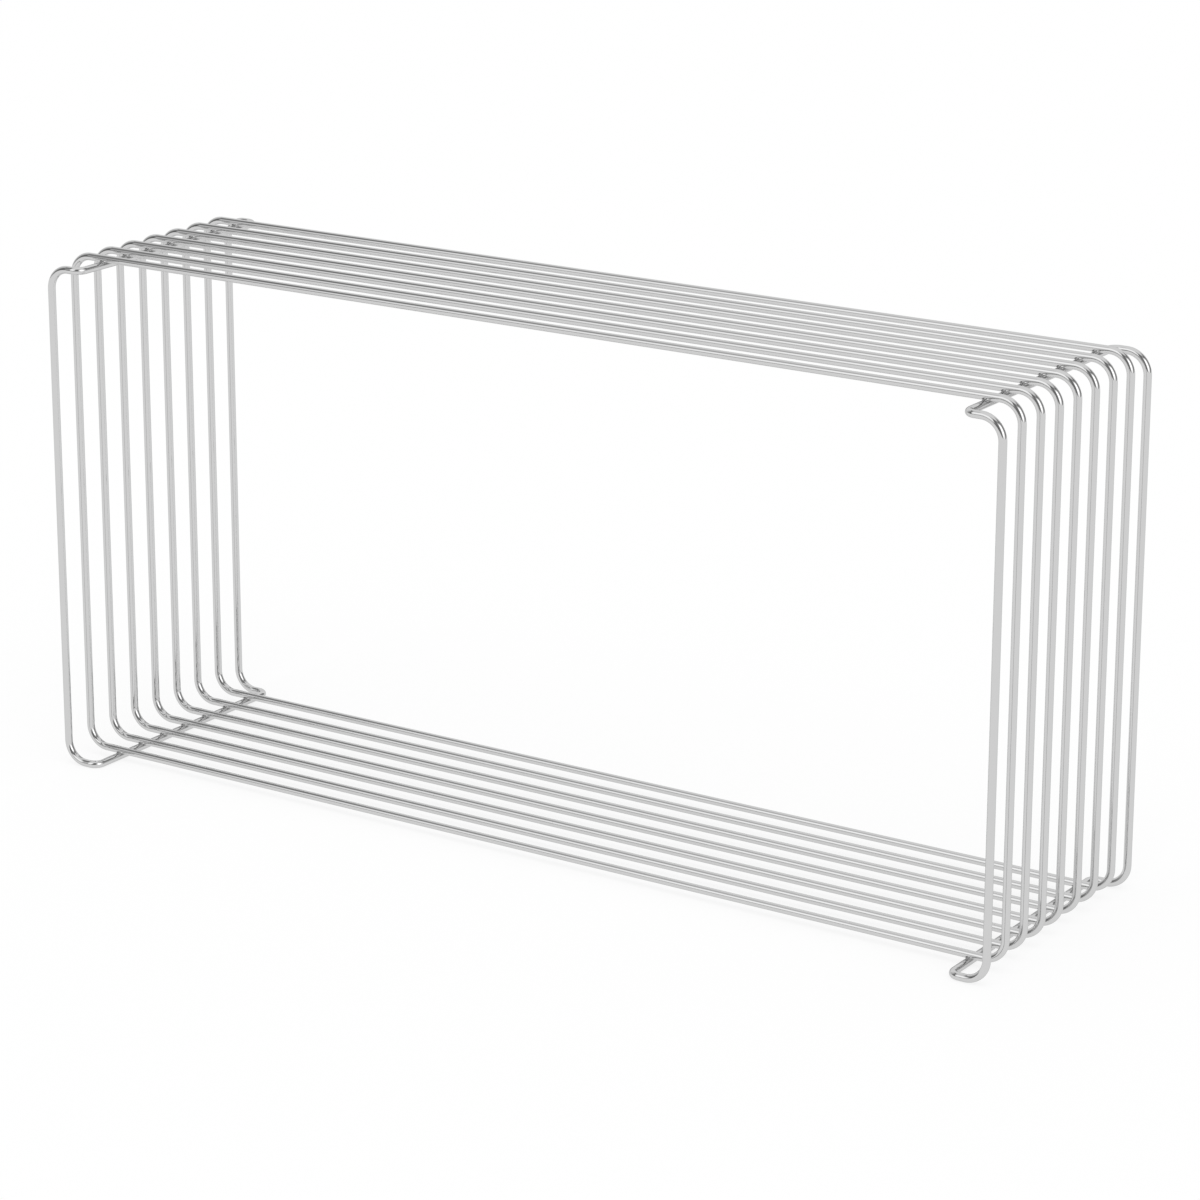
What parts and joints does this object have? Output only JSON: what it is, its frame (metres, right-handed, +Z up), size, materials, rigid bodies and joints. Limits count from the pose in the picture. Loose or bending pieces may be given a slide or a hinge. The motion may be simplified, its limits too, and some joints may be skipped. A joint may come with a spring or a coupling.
{
  "type": "wire shelf",
  "caption": "Open box shelf of bright chromed round wire: flat rounded hoops side by side, welded to a bent end frame at each side, to stand on a floor or hang on a wall.",
  "frame": {"origin": "on the floor below the middle of the shelf: the middle of its bounding box, at the bottom", "axes": "+X to the right seen from the front, along the long wires; +Y to the back; +Z up"},
  "size_m": [0.701, 0.188, 0.348],
  "materials": {
    "wire": "bright chrome plate",
    "weld": "chrome plate over weld metal, a little duller than the wire"
  },
  "bodies": {
    "root": {"hoop_1": "wire", "hoop_2": "wire", "hoop_3": "wire", "hoop_4": "wire", "hoop_5": "wire", "hoop_6": "wire", "hoop_7": "wire", "end_frame_left": "wire", "end_frame_right": "wire", "hoop_1_closure_weld": "weld", "hoop_2_closure_weld": "weld", "hoop_3_closure_weld": "weld", "hoop_4_closure_weld": "weld", "hoop_5_closure_weld": "weld", "hoop_6_closure_weld": "weld", "hoop_7_closure_weld": "weld", "end_frame_left_closure_weld": "weld", "end_frame_right_closure_weld": "weld", "welds_top_left": "weld", "welds_top_right": "weld", "welds_bottom_left": "weld", "welds_bottom_right": "weld"}
  },
  "joints": []
}
